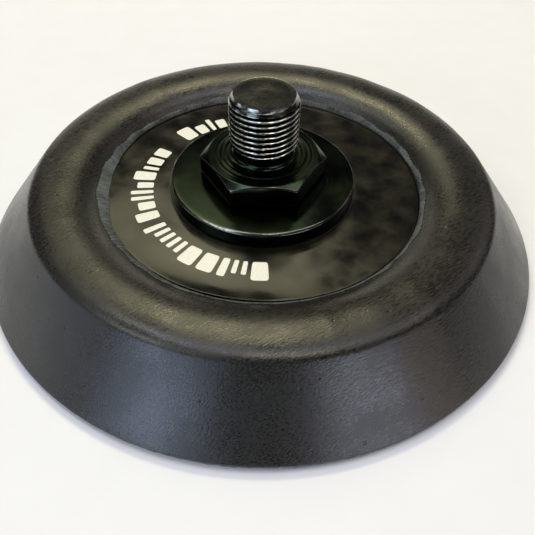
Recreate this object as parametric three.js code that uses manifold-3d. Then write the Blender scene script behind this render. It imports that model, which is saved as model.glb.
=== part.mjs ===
// Hook-and-loop polishing pad, 76 mm, with a male-threaded steel spindle.
// Millimetres. +Z runs up the spindle, and z = 0 is the plane of the hook tips, the face that works.
//
// From the working face up: hooks, woven hook tape, adhesive, a moulded foam body, and inside the foam
// a stiff plate that the spindle is riveted through between two steel washers.

import * as THREE from "three";
import { mergeVertices } from "three/addons/utils/BufferGeometryUtils.js";
import Module from "manifold-3d";

const wasm = await Module();
wasm.setup();

// ---- Driving dimensions ----

const PAD_DIAMETER = 76;
const SIDE_ANGLE = THREE.MathUtils.degToRad(51.6); // of the conical side, from the working face

const HOOK_HEIGHT = 0.7;
const HOOK_SETBACK = 0.3; // the hooks stop this far inside the tape's cut edge
const TAPE_THICKNESS = 0.4;
const ADHESIVE_THICKNESS = 0.15;
const FOAM_FOOT = 0.1; // upright edge of the foam above the adhesive

const SHOULDER_HEIGHT = 10; // where the straight side ends and the round shoulder begins
const CROWN = { radius: 27, height: 10.95 };
const ROLL = { crownEase: 1.7, lipEase: 1.1, lipRise: 1.15 }; // how the crown rolls down to the flash
const FLASH = { outer: 22.5, inner: 21.55, height: 9.15, drop: 0.75 }; // slopes in, down to the label

const PLATE_TOP = 8.1; // height of the plate's top face, where the washer and the label lie
const PLATE_THICKNESS = 2.4;
const PLATE_RADIUS = 21.5;
const PLATE_FLANGE = { radius: 25, thickness: 0.9 }; // buried rim that the foam grips

const LABEL = { inner: 12.7, outer: 21.4, thickness: 0.2 };

const CLAMP_WASHER = { radius: 12.5, thickness: 2.3, chamfer: 0.25 };
const LOWER_WASHER = { radius: 10, thickness: 1.2, chamfer: 0.2 };

const HEX = { acrossFlats: 14.8, height: 3.3, chamferRadius: 7.3, chamferAngle: Math.PI / 6 };
const WASHER_FACE = { radius: 6.9, height: 0.3 }; // round seat under the hexagon, within its height
const THREAD = { diameter: 9, pitch: 0.75, depth: 0.46 };
const SPINDLE_REACH = 12.1; // from the seat under the hexagon to the tip
const RELIEF = { radius: 3.9, length: 1.6, fillet: 0.7 };
const TIP_CHAMFER = { depth: 0.55, length: 1.0 };
const SHANK = { radius: 4.3, flatHalf: 3.7 }; // round with two flats, so the stack can't turn on it
const RIVET = { radius: 6.2, height: 1.5 };

const HOLE_CLEARANCE = 0.15;
const POCKET_CLEARANCE = 0.1;

const ROUND = 72; // sides of the large turned pieces
const FINE_ROUND = 48; // sides of the spindle and the washers
const TURN_STEPS = 24; // steps in one turn of the thread

// ---- Worked-out dimensions ----

const rimRadius = PAD_DIAMETER / 2;
const tapeTop = HOOK_HEIGHT + TAPE_THICKNESS;
const foamBottom = tapeTop + ADHESIVE_THICKNESS;
const footTop = foamBottom + FOAM_FOOT;
const plateBottom = PLATE_TOP - PLATE_THICKNESS;
const rivetSeat = plateBottom - LOWER_WASHER.thickness;
const rivetBottom = rivetSeat - RIVET.height;
const hexSeat = PLATE_TOP + CLAMP_WASHER.thickness;

/** Radius of the conical side at a height. */
const sideRadius = (height) => rimRadius - (height - footTop) / Math.tan(SIDE_ANGLE);

// ---- Helpers ----

/** A turned solid: the outline (radius, height), counter-clockwise, spun about Z. */
function turned(outline, sides = ROUND) {
  return new THREE.LatheGeometry(outline, sides).rotateX(Math.PI / 2);
}

/** An outline of straight runs from [radius, height] pairs. */
function outlineOf(pairs) {
  return pairs.map(([radius, height]) => new THREE.Vector2(radius, height));
}

/** A closed geometry as a solid that can be joined and cut. */
function solidOf(geometry) {
  const bare = geometry.clone();
  bare.deleteAttribute("normal");
  bare.deleteAttribute("uv");
  const merged = mergeVertices(bare, 1e-4);
  return new wasm.Manifold(
    new wasm.Mesh({
      numProp: 3,
      vertProperties: new Float32Array(merged.attributes.position.array),
      triVerts: new Uint32Array(merged.index.array),
    }),
  );
}

/** A solid as a geometry again, with flat-shaded normals. */
function geometryOf(solid) {
  const mesh = solid.getMesh();
  const geometry = new THREE.BufferGeometry();
  geometry.setAttribute("position", new THREE.BufferAttribute(mesh.vertProperties, 3));
  geometry.setIndex(new THREE.BufferAttribute(mesh.triVerts, 1));
  geometry.computeVertexNormals();
  return geometry;
}

/** A prism of the spindle's shank section, round with two flats across Y, from z = low to high. */
function shankPrism(low, high, clearance = 0) {
  const radius = SHANK.radius + clearance;
  const half = SHANK.flatHalf + clearance;
  const start = Math.asin(half / radius);
  const section = new THREE.Shape();
  section.absarc(0, 0, radius, -start, start, false);
  section.absarc(0, 0, radius, Math.PI - start, Math.PI + start, false);
  const prism = new THREE.ExtrudeGeometry(section, {
    depth: high - low,
    bevelEnabled: false,
    curveSegments: 12,
  });
  return prism.translate(0, 0, low);
}

/** A flat washer with chamfered outer edges and a hole that fits the shank. */
function keyedWasher({ radius, thickness, chamfer }) {
  const disc = turned(
    outlineOf([
      [0, 0],
      [radius - chamfer, 0],
      [radius, chamfer],
      [radius, thickness - chamfer],
      [radius - chamfer, thickness],
      [0, thickness],
    ]),
    FINE_ROUND,
  );
  const hole = shankPrism(-1, thickness + 1, HOLE_CLEARANCE);
  return geometryOf(solidOf(disc).subtract(solidOf(hole)));
}

/** A round disc, or a ring where inner is above zero, with square edges. */
function flatRing(outer, thickness, inner = 0) {
  const outline = [
    [inner, 0],
    [outer, 0],
    [outer, thickness],
    [inner, thickness],
  ];
  if (inner > 0) outline.push([inner, 0]);
  return turned(outlineOf(outline));
}

// ---- Foam body ----

/** The foam: conical side, rounded shoulder, crown and trimmed flash round the plate's pocket. */
function foamBody() {
  const flangeTop = plateBottom + PLATE_FLANGE.thickness + POCKET_CLEARANCE;
  const flangeWall = PLATE_FLANGE.radius + POCKET_CLEARANCE;
  const washerWall = LOWER_WASHER.radius + POCKET_CLEARANCE;
  const rivetWall = RIVET.radius + POCKET_CLEARANCE;

  const skin = new THREE.Path();
  skin.moveTo(sideRadius(SHOULDER_HEIGHT), SHOULDER_HEIGHT);
  skin.quadraticCurveTo(sideRadius(CROWN.height), CROWN.height, CROWN.radius, CROWN.height);
  skin.bezierCurveTo(
    CROWN.radius - ROLL.crownEase,
    CROWN.height,
    FLASH.outer + ROLL.lipEase,
    FLASH.height + ROLL.lipRise,
    FLASH.outer,
    FLASH.height,
  );

  return turned([
    ...outlineOf([
      [0, foamBottom],
      [rimRadius, foamBottom],
      [rimRadius, footTop],
    ]),
    ...skin.getPoints(8),
    ...outlineOf([
      [FLASH.inner, FLASH.height - FLASH.drop],
      [FLASH.inner, flangeTop],
      [flangeWall, flangeTop],
      [flangeWall, plateBottom],
      [washerWall, plateBottom],
      [washerWall, rivetSeat - POCKET_CLEARANCE],
      [rivetWall, rivetSeat - POCKET_CLEARANCE],
      [rivetWall, rivetBottom - POCKET_CLEARANCE],
      [0, rivetBottom - POCKET_CLEARANCE],
    ]),
  ]);
}

// ---- Stiff plate ----

/** The plate: a disc with a wider buried flange, and the keyed hole of the shank. */
function backingPlate() {
  const disc = turned(
    outlineOf([
      [0, 0],
      [PLATE_FLANGE.radius, 0],
      [PLATE_FLANGE.radius, PLATE_FLANGE.thickness],
      [PLATE_RADIUS, PLATE_FLANGE.thickness],
      [PLATE_RADIUS, PLATE_THICKNESS],
      [0, PLATE_THICKNESS],
    ]),
  );
  const hole = shankPrism(-1, PLATE_THICKNESS + 1, HOLE_CLEARANCE);
  return geometryOf(solidOf(disc).subtract(solidOf(hole)));
}

// ---- Spindle ----
// Its own frame has z = 0 on the seat under the hexagon.

/** The thread's centre line, a right-hand helix whose frame keeps one axis radial and one along Z. */
class ThreadHelix extends THREE.Curve {
  constructor(radius, pitch, low, turns) {
    super();
    Object.assign(this, { radius, pitch, low, turns });
  }

  getPoint(t, target = new THREE.Vector3()) {
    const angle = 2 * Math.PI * this.turns * t;
    const height = this.low + this.pitch * this.turns * t;
    return target.set(this.radius * Math.cos(angle), this.radius * Math.sin(angle), height);
  }

  computeFrenetFrames(segments) {
    const frames = { tangents: [], normals: [], binormals: [] };
    for (let i = 0; i <= segments; i++) {
      const angle = (2 * Math.PI * this.turns * i) / segments;
      frames.tangents.push(new THREE.Vector3(-Math.sin(angle), Math.cos(angle), 0));
      frames.normals.push(new THREE.Vector3(Math.cos(angle), Math.sin(angle), 0));
      frames.binormals.push(new THREE.Vector3(0, 0, -1));
    }
    return frames;
  }
}

/** The thread's ridge as one solid, cut to the cylinder between low and high with a chamfered tip. */
function threadRidge(low, high) {
  const crestRadius = THREAD.diameter / 2;
  const rootRadius = crestRadius - THREAD.depth;
  const turns = Math.ceil((high - low) / THREAD.pitch) + 1;
  const helix = new ThreadHelix(rootRadius, THREAD.pitch, low - THREAD.pitch / 2, turns);
  const crestHalf = THREAD.pitch / 16;
  const rootHalf = (THREAD.pitch * 13) / 32;
  const section = new THREE.Shape(
    outlineOf([
      [-0.3, -rootHalf],
      [0, -rootHalf],
      [THREAD.depth, -crestHalf],
      [THREAD.depth, crestHalf],
      [0, rootHalf],
      [-0.3, rootHalf],
    ]),
  );
  const ridge = new THREE.ExtrudeGeometry(section, {
    steps: turns * TURN_STEPS,
    extrudePath: helix,
    bevelEnabled: false,
  });
  const envelope = turned(
    outlineOf([
      [0, low],
      [rootRadius, low],
      [crestRadius + 0.1, low + THREAD.depth],
      [crestRadius + 0.1, high - TIP_CHAMFER.length * (1 + 0.1 / TIP_CHAMFER.depth)],
      [crestRadius - TIP_CHAMFER.depth, high],
      [0, high],
    ]),
    FINE_ROUND,
  );
  return solidOf(ridge).intersect(solidOf(envelope));
}

/** The hexagon, one flat towards -Y, on its washer face, its upper corners cut back by a cone. */
function hexagon() {
  const cornerRadius = HEX.acrossFlats / Math.sqrt(3);
  const prism = new THREE.CylinderGeometry(cornerRadius, cornerRadius, HEX.height, 6);
  prism.rotateX(Math.PI / 2);
  prism.rotateZ(Math.PI / 6);
  prism.translate(0, 0, HEX.height / 2);
  const wide = cornerRadius + 1;
  const drop = (wide - HEX.chamferRadius) * Math.tan(HEX.chamferAngle);
  const envelope = turned(
    outlineOf([
      [0, 0],
      [WASHER_FACE.radius, 0],
      [WASHER_FACE.radius, WASHER_FACE.height],
      [wide, WASHER_FACE.height],
      [wide, HEX.height - drop],
      [HEX.chamferRadius, HEX.height],
      [0, HEX.height],
    ]),
    FINE_ROUND,
  );
  return solidOf(prism).intersect(solidOf(envelope));
}

/** The spindle: tip, thread, relief neck, hexagon, keyed shank and the rivet head that holds the stack. */
function spindle() {
  const rootRadius = THREAD.diameter / 2 - THREAD.depth;
  const neckTop = HEX.height + RELIEF.length;
  const shankLength = hexSeat - rivetSeat;
  const neck = new THREE.Path();
  neck.moveTo(RELIEF.radius + RELIEF.fillet, HEX.height - 0.2);
  neck.lineTo(RELIEF.radius + RELIEF.fillet, HEX.height);
  neck.quadraticCurveTo(RELIEF.radius, HEX.height, RELIEF.radius, HEX.height + RELIEF.fillet);
  const core = turned(
    [
      new THREE.Vector2(0, HEX.height - 0.2),
      ...neck.getPoints(3),
      ...outlineOf([
        [RELIEF.radius, neckTop],
        [rootRadius, neckTop + 0.1],
        [rootRadius, SPINDLE_REACH - 0.1],
        [rootRadius - 0.1, SPINDLE_REACH],
        [0, SPINDLE_REACH],
      ]),
    ],
    FINE_ROUND,
  );
  const head = turned(
    outlineOf([
      [0, -shankLength - RIVET.height],
      [RIVET.radius * 0.6, -shankLength - RIVET.height],
      [RIVET.radius * 0.92, -shankLength - RIVET.height * 0.62],
      [RIVET.radius, -shankLength - RIVET.height * 0.3],
      [RIVET.radius, -shankLength],
      [0, -shankLength],
    ]),
    FINE_ROUND,
  );
  const shank = shankPrism(-shankLength - 0.2, 0.2);
  const whole = solidOf(core)
    .add(threadRidge(neckTop, SPINDLE_REACH))
    .add(hexagon())
    .add(solidOf(shank))
    .add(solidOf(head));
  return geometryOf(whole);
}

// ---- Finishes ----

const FINISH = {
  blackOxide: { color: 0x23261f, roughness: 0.35, metalness: 0.9 },
  zincSteel: { color: 0x8d9096, roughness: 0.45, metalness: 0.9 },
  glossFilm: { color: 0x1b1c1a, roughness: 0.12, metalness: 0 },
  glassNylon: { color: 0x202221, roughness: 0.55, metalness: 0 },
  foam: { color: 0x2b2b28, roughness: 0.7, metalness: 0 },
  adhesive: { color: 0x77705a, roughness: 0.6, metalness: 0 },
  wovenNylon: { color: 0x34363b, roughness: 0.85, metalness: 0 },
  hookNylon: { color: 0x2e3034, roughness: 0.6, metalness: 0 },
};

/** Adds one named mesh to a group at a height. */
function place(group, name, geometry, finish, height = 0) {
  const mesh = new THREE.Mesh(geometry, new THREE.MeshStandardMaterial(finish));
  mesh.name = name;
  mesh.position.z = height;
  group.add(mesh);
}

// ---- Assembly ----

const hookFacing = new THREE.Group();
place(hookFacing, "hook_pile", flatRing(rimRadius - HOOK_SETBACK, HOOK_HEIGHT), FINISH.hookNylon);
place(hookFacing, "hook_tape", flatRing(rimRadius, TAPE_THICKNESS), FINISH.wovenNylon, HOOK_HEIGHT);
place(hookFacing, "adhesive_film", flatRing(rimRadius - 0.1, ADHESIVE_THICKNESS), FINISH.adhesive, tapeTop);

const body = new THREE.Group();
place(body, "foam_body", foamBody(), FINISH.foam);
place(body, "backing_plate", backingPlate(), FINISH.glassNylon, plateBottom);
place(body, "label_disc", flatRing(LABEL.outer, LABEL.thickness, LABEL.inner), FINISH.glossFilm, PLATE_TOP);

const drive = new THREE.Group();
place(drive, "lower_washer", keyedWasher(LOWER_WASHER), FINISH.zincSteel, rivetSeat);
place(drive, "clamp_washer", keyedWasher(CLAMP_WASHER), FINISH.blackOxide, PLATE_TOP);
place(drive, "spindle", spindle(), FINISH.blackOxide, hexSeat);

const pad = new THREE.Group();
pad.add(hookFacing, body, drive);

export default pad;
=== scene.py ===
"""Hook-and-loop polishing pad, 76 mm, with a male-threaded steel spindle: its looks, round the CAD frame.

The frame gives each piece's radius and heights. The classes below hold the finer sizes, in millimetres,
and every mesh is turned to metres as it is made. Angles run counter-clockwise from +X, seen from above.
"""

import logging
import math
from dataclasses import dataclass
from enum import Enum

import bpy
import numpy as np
from mathutils import Matrix, Vector


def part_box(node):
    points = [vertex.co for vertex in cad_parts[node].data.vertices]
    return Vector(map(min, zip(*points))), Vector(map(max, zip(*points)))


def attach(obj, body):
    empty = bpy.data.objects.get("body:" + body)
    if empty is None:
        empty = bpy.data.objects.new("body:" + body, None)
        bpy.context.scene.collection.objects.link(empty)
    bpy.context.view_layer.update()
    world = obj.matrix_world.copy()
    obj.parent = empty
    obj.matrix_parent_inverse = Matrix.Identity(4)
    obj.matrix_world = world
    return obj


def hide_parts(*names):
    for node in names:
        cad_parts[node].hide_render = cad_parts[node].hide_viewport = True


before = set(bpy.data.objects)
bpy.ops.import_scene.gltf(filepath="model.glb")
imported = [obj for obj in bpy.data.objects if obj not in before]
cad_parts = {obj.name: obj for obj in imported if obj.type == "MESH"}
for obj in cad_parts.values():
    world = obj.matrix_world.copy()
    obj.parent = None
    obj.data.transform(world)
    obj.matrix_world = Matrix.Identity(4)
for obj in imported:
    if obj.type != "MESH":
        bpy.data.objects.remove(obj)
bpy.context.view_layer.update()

MM = 0.001
BODY = "root"
Stops = tuple[tuple[float, float], ...]  # an angle in degrees, and the value there
Section = list[tuple[float, float, float]]  # radius, height and cut of each corner
Socket = bpy.types.NodeSocket
log = logging.getLogger("polishing_pad")


class Slot(Enum):
    """Names of the material slots."""

    HOOK_NYLON = "hook_nylon"
    WOVEN_NYLON = "woven_nylon"
    ADHESIVE = "adhesive"
    FOAM = "polyurethane_foam"
    GLASS_NYLON = "glass_nylon"
    FILM = "gloss_film"
    ZINC_STEEL = "zinc_steel"
    BLACK_STEEL = "black_oxide_steel"


class MarkHeight(Enum):
    """The two heights of printed mark, as a share of the printed band."""

    TALL = 1.0
    SHORT = 0.74


TALL, SHORT = MarkHeight.TALL, MarkHeight.SHORT
Marks = tuple[tuple[float, MarkHeight], ...]  # the width in degrees and the height of each block


# ---- Surfaces ----


@dataclass(frozen=True)
class Span:
    """A turned CAD node's outer radius and its lowest and highest height, in millimetres."""

    radius: float
    low: float
    high: float


@dataclass(frozen=True)
class Shell:
    """A closed surface: its points in millimetres, and its faces of four and of three corners."""

    points: np.ndarray
    quads: np.ndarray
    triangles: np.ndarray


def span(node_name: str) -> Span:
    """The size of a turned CAD node, from its box."""
    low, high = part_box(node_name)
    return Span(radius=high.x / MM, low=low.z / MM, high=high.z / MM)


def bezier(*controls: tuple[float, float], steps: int) -> np.ndarray:
    """Points along a Bezier curve: the controls weighted by the Bernstein polynomials of t.

    Args:
        controls: (radius, height) of each control point.
        steps: how many points, both ends among them.

    Returns:
        An array of shape (steps, 2).
    """
    t = np.linspace(0, 1, steps)[:, None]
    degree = len(controls) - 1
    weights = [math.comb(degree, k) * t**k * (1 - t) ** (degree - k) for k in range(degree + 1)]
    return sum(weight * np.array(control) for weight, control in zip(weights, controls))


def outline(corners: Section, spacing: float, arc_steps: int = 5) -> np.ndarray:
    """An outline of straight runs with rounded corners.

    A corner is swapped for the quadratic curve that starts and ends its cut away from it, with the corner
    as the control point. Straight runs are divided so that no step is longer than the spacing.

    Args:
        corners: (radius, height, cut) of each corner; the first and the last are ends and stay sharp.
        spacing: the longest step along a straight run.
        arc_steps: how many points a rounded corner has.

    Returns:
        An array of shape (points, 2).
    """
    places = np.array([corner[:2] for corner in corners], float)
    runs = [places[:1]]
    for before, here, after, cut in zip(places, places[1:], places[2:], [c[2] for c in corners[1:]]):
        enter = here + (before - here) / np.linalg.norm(before - here) * cut
        leave = here + (after - here) / np.linalg.norm(after - here) * cut
        bend = bezier(tuple(enter), tuple(here), tuple(leave), steps=arc_steps) if cut else here[None]
        runs.append(bend)
    runs.append(places[-1:])
    pieces = []
    for run, following in zip(runs, runs[1:]):
        gap = np.linalg.norm(following[0] - run[-1])
        count = max(1, math.ceil(gap / spacing))
        share = np.linspace(0, 1, count + 1)[1:-1, None]
        pieces += [run, run[-1] + (following[0] - run[-1]) * share]
    return np.vstack([*pieces, runs[-1]])


@dataclass(frozen=True)
class Ripple:
    """An uneven wave round a circle: its size, its numbers of cycles and the seed of their phases."""

    size: float
    cycles: range
    seed: int

    def at(self, angle: np.ndarray) -> np.ndarray:
        """The wave's height at angles in radians.

        It is the sum of cosines of whole numbers of cycles, each with a random phase, over the root of
        half their count, times the size.

        Args:
            angle: where to work it out, in radians.

        Returns:
            The height at each angle.
        """
        phases = np.random.default_rng(self.seed).uniform(0, 2 * np.pi, len(self.cycles))
        waves = sum(np.cos(count * angle + phase) for count, phase in zip(self.cycles, phases))
        return self.size * waves / math.sqrt(len(self.cycles) / 2)


def rippled(angle: np.ndarray, ripples: tuple[Ripple, ...]) -> np.ndarray:
    """The sum of several uneven waves, at angles in radians."""
    return sum(ripple.at(angle) for ripple in ripples)


def compass(angle: np.ndarray, stops: Stops) -> np.ndarray:
    """A value that eases between those given at compass angles in degrees, as a raised cosine.

    Args:
        angle: where to work it out, in radians.
        stops: pairs of an angle, in degrees from 0 to 360 in rising order, and the value there.

    Returns:
        The value at each angle.
    """
    first_angle, first_value = stops[0]
    starts, values = np.array([*stops, (first_angle + 360, first_value)]).T
    turn = (np.degrees(angle) - first_angle) % 360 + first_angle
    after = np.clip(np.searchsorted(starts, turn, side="right"), 1, len(starts) - 1)
    share = (turn - starts[after - 1]) / (starts[after] - starts[after - 1])
    ease = 0.5 - 0.5 * np.cos(np.pi * share)
    return values[after - 1] * (1 - ease) + values[after] * ease


def smooth(value: np.ndarray, low: float, high: float) -> np.ndarray:
    """0 below low and 1 above high, with a smooth cubic step between them."""
    share = np.clip((value - low) / (high - low), 0, 1)
    return share * share * (3 - 2 * share)


def closed_shell(grid: np.ndarray, ring: bool = False) -> Shell:
    """The closed surface over a grid of points whose columns go right round.

    Args:
        grid: points of shape (rows, columns, 3).
        ring: the last row joins the first; otherwise the first and the last row are one point each.

    Returns:
        The surface, with its faces pointing outwards.
    """
    body = grid if ring else grid[1:-1]
    rows, columns = body.shape[:2]
    row = np.arange(rows if ring else rows - 1)[:, None] * columns
    above = (row + columns) % (rows * columns)
    column = np.arange(columns)[None, :]
    beside = (column + 1) % columns
    quads = np.stack([row + column, row + beside, above + beside, above + column], -1).reshape(-1, 4)
    points = body.reshape(-1, 3)
    triangles = np.zeros((0, 3), int)
    if not ring:
        first, last = rows * columns, rows * columns + 1
        points = np.vstack([points, grid[0, :1], grid[-1, :1]])
        turn = np.arange(columns)
        ahead = (turn + 1) % columns
        top = (rows - 1) * columns
        bottom_fan = np.stack([ahead, turn, np.full(columns, first)], -1)
        top_fan = np.stack([top + turn, top + ahead, np.full(columns, last)], -1)
        triangles = np.vstack([bottom_fan, top_fan])
    halves = np.vstack([quads[:, [0, 1, 2]], quads[:, [0, 2, 3]], triangles])
    a, b, c = (points[halves[:, corner]] for corner in range(3))
    if np.einsum("ij,ij->i", a, np.cross(b, c)).sum() < 0:
        quads, triangles = quads[:, ::-1], triangles[:, ::-1]
    return Shell(points, quads, triangles)


def spun(radius: np.ndarray, height: np.ndarray, angle: np.ndarray) -> np.ndarray:
    """Grid points from cylindrical coordinates, each broadcast to (rows, columns)."""
    radius, height, angle = np.broadcast_arrays(radius, height, angle)
    return np.stack([radius * np.cos(angle), radius * np.sin(angle), height], -1)


def turn_angles(columns: int) -> np.ndarray:
    """One row of equally spaced angles round the axis, in radians."""
    return np.linspace(0, 2 * np.pi, columns, endpoint=False)[None, :]


def joined(shells: list[Shell]) -> Shell:
    """Several closed surfaces as one, kept apart.

    Args:
        shells: the surfaces.

    Returns:
        One surface with all their points and faces.
    """
    starts = np.cumsum([0, *(len(shell.points) for shell in shells[:-1])])
    return Shell(
        np.vstack([shell.points for shell in shells]),
        np.vstack([shell.quads + start for shell, start in zip(shells, starts)]),
        np.vstack([shell.triangles + start for shell, start in zip(shells, starts)]),
    )


# ---- Finishes ----


def linear(code: str) -> tuple[float, float, float, float]:
    """An sRGB hex colour as the linear colour that shaders take."""
    channels = [int(code[i : i + 2], 16) / 255 for i in (1, 3, 5)]
    light = [c / 12.92 if c <= 0.04045 else ((c + 0.055) / 1.055) ** 2.4 for c in channels]
    return (*light, 1.0)


def per_metre(size: float) -> float:
    """The scale that gives a pattern this size, in millimetres."""
    return 1 / (size * MM)


def node(tree: bpy.types.NodeTree, kind: str, feeds: dict | None = None, **settings) -> bpy.types.Node:
    """Add one node with its settings and what feeds it.

    Args:
        tree: the node tree.
        kind: Blender's name of the node type, after its ShaderNode.
        feeds: for an input's name or number, the output socket that links to it or its constant.
        settings: the node's own properties.

    Returns:
        The new node.
    """
    made = tree.nodes.new("ShaderNode" + kind)
    for name, value in settings.items():
        setattr(made, name, value)
    for name, value in (feeds or {}).items():
        if isinstance(value, Socket):
            tree.links.new(value, made.inputs[name])
        else:
            made.inputs[name].default_value = value
    return made


@dataclass(frozen=True)
class Pattern:
    """What a finish's nodes come to: a ground colour, the colours laid over it, its relief and its gloss."""

    ground: str
    coats: tuple[tuple[Socket, str], ...]  # how much of each colour, and the colour
    height: Socket
    gloss: tuple[Socket, float, float] | None = None  # what drives it, and from where to where


@dataclass(frozen=True)
class Finish:
    """A surface finish; each kind below has its own pattern."""

    name: str
    roughness: float
    metallic: float = 0.0
    ior: float = 1.5
    gloss_range: tuple[float, float] = (0.0, 0.0)  # added to the roughness
    bump: tuple[float, float] = (0.0, 0.0)  # strength, and height

    def pattern(self, tree: bpy.types.NodeTree, place: Socket) -> Pattern:
        """Add this finish's own nodes.

        Args:
            tree: the material's node tree.
            place: Object coordinates, in metres.

        Returns:
            What they come to.
        """
        raise NotImplementedError(self.name)

    def material(self) -> bpy.types.Material:
        """The finish's material, made the first time it is asked for."""
        known = bpy.data.materials.get(self.name)
        if known:
            return known
        material = bpy.data.materials.new(self.name)
        material.use_nodes = True
        tree = material.node_tree
        tree.nodes.clear()
        constants = {"Roughness": self.roughness, "Metallic": self.metallic, "IOR": self.ior}
        shader = node(tree, "BsdfPrincipled", constants)
        node(tree, "OutputMaterial", {"Surface": shader.outputs[0]})
        pattern = self.pattern(tree, node(tree, "TexCoord").outputs["Object"])
        tone = linear(pattern.ground)
        for amount, colour in pattern.coats:
            layers = {0: amount, 6: tone, 7: linear(colour)}
            tone = node(tree, "Mix", layers, data_type="RGBA").outputs[2]
        tree.links.new(tone, shader.inputs["Base Color"])
        strength, depth = self.bump
        raised = {"Height": pattern.height, "Strength": strength, "Distance": depth * MM}
        tree.links.new(node(tree, "Bump", raised).outputs[0], shader.inputs["Normal"])
        if pattern.gloss:
            low, high = (self.roughness + change for change in self.gloss_range)
            source, start, end = pattern.gloss
            reach = {"Value": source, "From Min": start, "From Max": end, "To Min": low, "To Max": high}
            tree.links.new(node(tree, "MapRange", reach).outputs[0], shader.inputs["Roughness"])
        return material


@dataclass(frozen=True)
class MouldedFoam(Finish):
    """Self-skinned polyurethane foam from a mould: a dull charcoal skin that shows a brushed grain.

    The grain comes from the rubbed mould, so it lies one way across the whole pad. Small pits are where
    bubbles met the skin; their darker colour is painted shade.
    """

    dark: str = "#151513"
    pale: str = "#34322b"
    # painted shade: the colour laid in the pits
    pit_painted_shade: str = "#0a0a0a"
    grain: tuple[float, float] = (0.9, 0.13)  # length and width of a streak
    grain_turn: float = 34.0
    streak_range: tuple[float, float] = (0.38, 0.62)  # of the noise, from dark to pale
    pebble: float = 0.24
    cloud_size: float = 7.0
    pit_spacing: float = 2.8
    pit_radius: float = 0.15
    pit_rim: float = 1.7  # its outer radius against its inner
    streak_relief: float = 2.2  # against the pebble's
    pit_relief: float = -2.5
    gloss_range: tuple[float, float] = (-0.06, 0.12)
    bump: tuple[float, float] = (0.32, 0.04)

    def pattern(self, tree: bpy.types.NodeTree, place: Socket) -> Pattern:
        """Streaks, pebbles and pits, as colour, gloss and relief; the pits' darker colour is painted shade.

        Args:
            tree: the material's node tree.
            place: Object coordinates, in metres.

        Returns:
            The skin's pattern.
        """
        length, width = (size * MM for size in self.grain)
        turn = (0, 0, math.radians(self.grain_turn))
        lie = {"Vector": place, "Rotation": turn, "Scale": (length, width, width)}
        along = node(tree, "Mapping", lie, vector_type="TEXTURE").outputs[0]
        streak = node(tree, "TexNoise", {"Vector": along, "Scale": 1.0, "Detail": 3.0}).outputs[0]
        fine = {"Vector": place, "Scale": per_metre(self.pebble), "Detail": 2.0}
        pebble = node(tree, "TexNoise", fine).outputs[0]
        slow = {"Vector": place, "Scale": per_metre(self.cloud_size), "Detail": 5.0}
        cloud = node(tree, "TexNoise", slow).outputs[0]
        cells = node(tree, "TexVoronoi", {"Vector": place, "Scale": per_metre(self.pit_spacing)})
        edge = self.pit_radius / self.pit_spacing
        fall = {"Value": cells.outputs["Distance"], "From Min": edge, "From Max": edge * self.pit_rim}
        pit = node(tree, "MapRange", {**fall, "To Min": 1.0, "To Max": 0.0}).outputs[0]
        low, high = self.streak_range
        share = node(tree, "MapRange", {"Value": streak, "From Min": low, "From Max": high}).outputs[0]
        both = node(tree, "Math", {0: streak, 1: cloud}, operation="ADD").outputs[0]
        raised = {0: streak, 1: self.streak_relief, 2: pebble}
        relief = node(tree, "Math", raised, operation="MULTIPLY_ADD").outputs[0]
        pitted = {0: pit, 1: self.pit_relief, 2: relief}
        sunk = node(tree, "Math", pitted, operation="MULTIPLY_ADD").outputs[0]
        # the pits are painted darker, as shade
        coats = ((share, self.pale), (cloud, self.dark), (pit, self.pit_painted_shade))
        return Pattern(self.dark, coats, sunk, gloss=(both, 0.8, 1.2))


@dataclass(frozen=True)
class TornFoam(Finish):
    """Moulding flash cut back by hand: open foam, paler and duller than the skin, torn towards the centre."""

    dark: str = "#25272a"
    pale: str = "#666b68"
    tear_spacing: float = 0.3  # round the edge, between tears
    tear_scale: float = 900.0  # inwards and down, so that a tear is about 1 mm long
    edge_radius: float = 22.0
    blotch_size: float = 2.4
    tear_share: float = 1.3  # of a tear in the tone, against a blotch
    bump: tuple[float, float] = (0.8, 0.12)

    def pattern(self, tree: bpy.types.NodeTree, place: Socket) -> Pattern:
        """Tears that depend mostly on the direction from the axis, so that they run inwards.

        Args:
            tree: the material's node tree.
            place: Object coordinates, in metres.

        Returns:
            The torn foam's pattern.
        """
        flat = node(tree, "VectorMath", {0: place, 1: (1, 1, 0)}, operation="MULTIPLY").outputs[0]
        way = node(tree, "VectorMath", {0: flat}, operation="NORMALIZE").outputs[0]
        fan = {0: way, 3: self.edge_radius / self.tear_spacing}
        fanned = node(tree, "VectorMath", fan, operation="SCALE").outputs[0]
        laid = {0: place, 1: (self.tear_scale,) * 3, 2: fanned}
        spread = node(tree, "VectorMath", laid, operation="MULTIPLY_ADD").outputs[0]
        tears = node(tree, "TexNoise", {"Vector": spread, "Scale": 1.0, "Detail": 4.0}).outputs[0]
        slow = {"Vector": place, "Scale": per_metre(self.blotch_size), "Detail": 2.0}
        blotch = node(tree, "TexNoise", slow).outputs[0]
        torn = {0: tears, 1: self.tear_share, 2: blotch}
        both = node(tree, "Math", torn, operation="MULTIPLY_ADD").outputs[0]
        share = node(tree, "MapRange", {"Value": both, "From Min": 0.8, "From Max": 1.5}).outputs[0]
        return Pattern(self.dark, ((share, self.pale),), tears)


def axis_distance(tree: bpy.types.NodeTree, place: Socket) -> Socket:
    """Distance from the axis: the length of the place with its height taken away."""
    flat = node(tree, "VectorMath", {0: place, 1: (1, 1, 0)}, operation="MULTIPLY").outputs[0]
    return node(tree, "VectorMath", {0: flat}, operation="LENGTH").outputs["Value"]


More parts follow.
